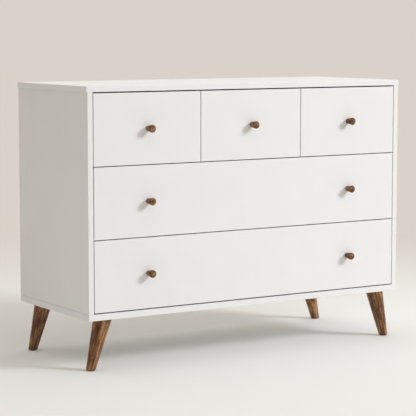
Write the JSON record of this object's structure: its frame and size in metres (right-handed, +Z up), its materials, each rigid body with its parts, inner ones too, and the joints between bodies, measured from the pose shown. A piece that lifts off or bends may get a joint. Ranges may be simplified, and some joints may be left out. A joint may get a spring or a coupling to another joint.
{
  "type": "low chest of drawers",
  "caption": "Low, wide chest of drawers in white lacquered board: small drawers over wide ones, conical walnut knobs, and splayed, tapered walnut legs.",
  "frame": {"origin": "on the floor, at the middle of the footprint, knobs included", "axes": "+Z up, drawer fronts face -Y, +X to the right of someone facing them"},
  "size_m": [1.206, 0.506, 0.885],
  "materials": {
    "white_lacquer": "satin white lacquer on board",
    "walnut": "turned walnut, satin oil",
    "birch_plywood": "clear lacquered plywood",
    "white_hardboard": "painted hardboard",
    "beech": "plain turned beech",
    "zinc_plated_steel": "bright zinc plate",
    "bearing_steel": "pressed steel cage with polished balls",
    "nylon": "moulded dark nylon"
  },
  "bodies": {
    "case": {"top_panel": "white_lacquer", "bottom_panel": "white_lacquer", "left_side_panel": "white_lacquer", "right_side_panel": "white_lacquer", "back_panel": "white_hardboard", "shelf": "white_lacquer", "left_divider": "white_lacquer", "right_divider": "white_lacquer", "case_screws": "zinc_plated_steel", "case_runners": "zinc_plated_steel", "front_left_leg": "walnut", "front_right_leg": "walnut", "back_left_leg": "walnut", "back_right_leg": "walnut", "leg_bolts": "zinc_plated_steel", "leg_inserts": "zinc_plated_steel", "leg_dowels": "beech", "leg_glides": "nylon"},
    "top_left_drawer": {"top_left_drawer_front": "white_lacquer", "top_left_drawer_left_side": "birch_plywood", "top_left_drawer_right_side": "birch_plywood", "top_left_drawer_back": "birch_plywood", "top_left_drawer_bottom": "white_hardboard", "top_left_drawer_runners": "zinc_plated_steel", "top_left_knob": "walnut"},
    "top_left_cages": {"top_left_ball_cages": "bearing_steel"},
    "top_centre_drawer": {"top_centre_drawer_front": "white_lacquer", "top_centre_drawer_left_side": "birch_plywood", "top_centre_drawer_right_side": "birch_plywood", "top_centre_drawer_back": "birch_plywood", "top_centre_drawer_bottom": "white_hardboard", "top_centre_drawer_runners": "zinc_plated_steel", "top_centre_knob": "walnut"},
    "top_centre_cages": {"top_centre_ball_cages": "bearing_steel"},
    "top_right_drawer": {"top_right_drawer_front": "white_lacquer", "top_right_drawer_left_side": "birch_plywood", "top_right_drawer_right_side": "birch_plywood", "top_right_drawer_back": "birch_plywood", "top_right_drawer_bottom": "white_hardboard", "top_right_drawer_runners": "zinc_plated_steel", "top_right_knob": "walnut"},
    "top_right_cages": {"top_right_ball_cages": "bearing_steel"},
    "middle_drawer": {"middle_drawer_front": "white_lacquer", "middle_drawer_left_side": "birch_plywood", "middle_drawer_right_side": "birch_plywood", "middle_drawer_back": "birch_plywood", "middle_drawer_bottom": "white_hardboard", "middle_drawer_runners": "zinc_plated_steel", "middle_left_knob": "walnut", "middle_right_knob": "walnut"},
    "middle_cages": {"middle_ball_cages": "bearing_steel"},
    "bottom_drawer": {"bottom_drawer_front": "white_lacquer", "bottom_drawer_left_side": "birch_plywood", "bottom_drawer_right_side": "birch_plywood", "bottom_drawer_back": "birch_plywood", "bottom_drawer_bottom": "white_hardboard", "bottom_drawer_runners": "zinc_plated_steel", "bottom_left_knob": "walnut", "bottom_right_knob": "walnut"},
    "bottom_cages": {"bottom_ball_cages": "bearing_steel"}
  },
  "joints": [
    {"name": "top_left_drawer_slide", "type": "slide", "parent": "case", "child": "top_left_drawer", "axis": [0, -1, 0], "range_m": [0, 0.3]},
    {"name": "top_left_cages_slide", "type": "slide", "parent": "case", "child": "top_left_cages", "axis": [0, -1, 0], "range_m": [0, 0.15]},
    {"name": "top_centre_drawer_slide", "type": "slide", "parent": "case", "child": "top_centre_drawer", "axis": [0, -1, 0], "range_m": [0, 0.3]},
    {"name": "top_centre_cages_slide", "type": "slide", "parent": "case", "child": "top_centre_cages", "axis": [0, -1, 0], "range_m": [0, 0.15]},
    {"name": "top_right_drawer_slide", "type": "slide", "parent": "case", "child": "top_right_drawer", "axis": [0, -1, 0], "range_m": [0, 0.3]},
    {"name": "top_right_cages_slide", "type": "slide", "parent": "case", "child": "top_right_cages", "axis": [0, -1, 0], "range_m": [0, 0.15]},
    {"name": "middle_drawer_slide", "type": "slide", "parent": "case", "child": "middle_drawer", "axis": [0, -1, 0], "range_m": [0, 0.3]},
    {"name": "middle_cages_slide", "type": "slide", "parent": "case", "child": "middle_cages", "axis": [0, -1, 0], "range_m": [0, 0.15]},
    {"name": "bottom_drawer_slide", "type": "slide", "parent": "case", "child": "bottom_drawer", "axis": [0, -1, 0], "range_m": [0, 0.3]},
    {"name": "bottom_cages_slide", "type": "slide", "parent": "case", "child": "bottom_cages", "axis": [0, -1, 0], "range_m": [0, 0.15]}
  ],
  "couplings": [
    {"joint": "top_left_cages_slide", "follows": "top_left_drawer_slide", "ratio": 0.5},
    {"joint": "top_centre_cages_slide", "follows": "top_centre_drawer_slide", "ratio": 0.5},
    {"joint": "top_right_cages_slide", "follows": "top_right_drawer_slide", "ratio": 0.5},
    {"joint": "middle_cages_slide", "follows": "middle_drawer_slide", "ratio": 0.5},
    {"joint": "bottom_cages_slide", "follows": "bottom_drawer_slide", "ratio": 0.5}
  ]
}
